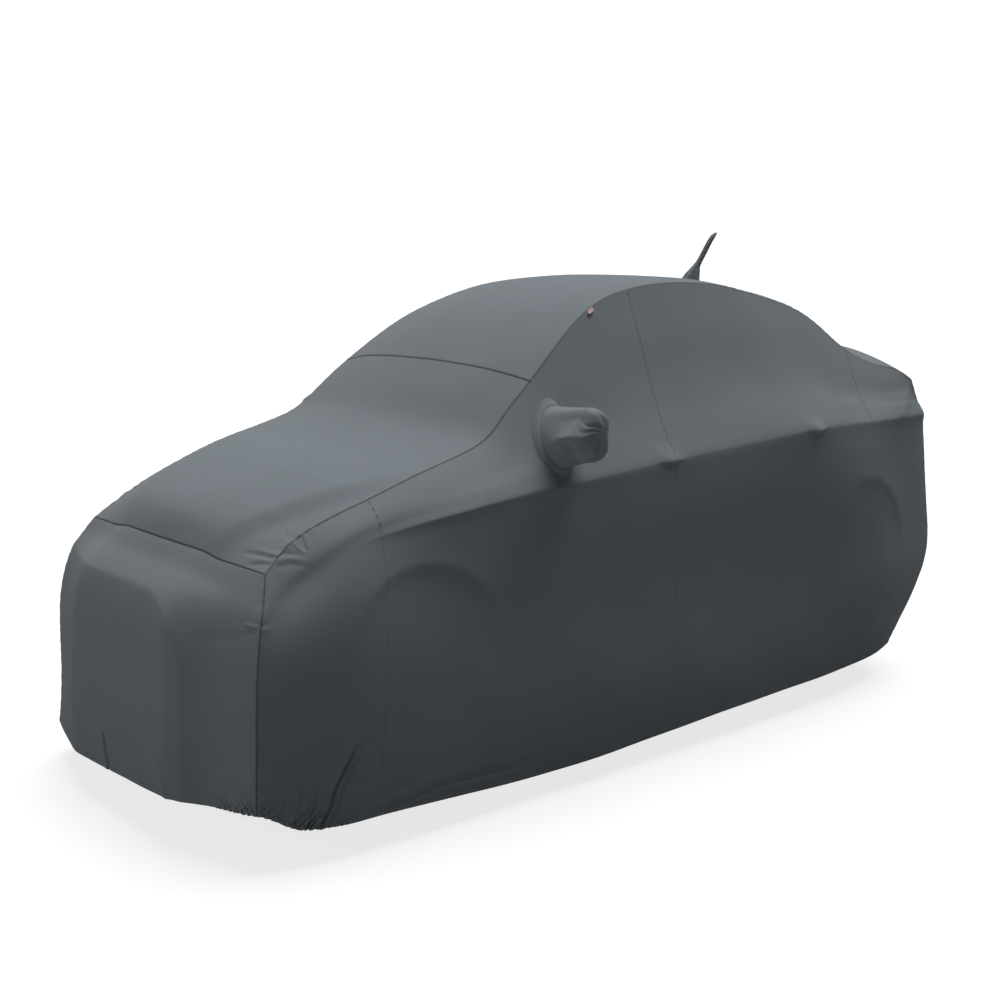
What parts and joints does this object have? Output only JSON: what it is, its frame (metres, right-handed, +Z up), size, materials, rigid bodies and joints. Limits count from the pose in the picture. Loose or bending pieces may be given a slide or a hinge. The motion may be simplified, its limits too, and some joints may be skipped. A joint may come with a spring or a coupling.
{
  "type": "car cover",
  "caption": "Fitted stretch-cloth cover for a small saloon car: sewn panels over nose, bonnet, roof and tail, pockets for the door mirrors and antenna, and a gathered hem.",
  "frame": {"origin": "underside of the roof cloth on the middle line, over the front seats, where the roof of the covered car carries it; the ground is 1.53 m below", "axes": "+Z up, -Y towards the nose of the car, +X towards its left side"},
  "size_m": [1.615, 3.2671, 1.6084],
  "materials": {
    "cover_cloth": "matt slate-grey stretch knit",
    "label_tape": "bare woven tape"
  },
  "bodies": {
    "root": {"nose_panel": "cover_cloth", "bonnet_panel": "cover_cloth", "roof_panel": "cover_cloth", "tail_panel": "cover_cloth", "left_wing_panel": "cover_cloth", "left_front_panel": "cover_cloth", "left_rear_panel": "cover_cloth", "left_quarter_panel": "cover_cloth", "right_wing_panel": "cover_cloth", "right_front_panel": "cover_cloth", "right_rear_panel": "cover_cloth", "right_quarter_panel": "cover_cloth", "left_mirror_patch": "cover_cloth", "right_mirror_patch": "cover_cloth", "left_mirror_pocket": "cover_cloth", "right_mirror_pocket": "cover_cloth", "antenna_pocket": "cover_cloth", "seam_label": "label_tape"}
  },
  "joints": []
}
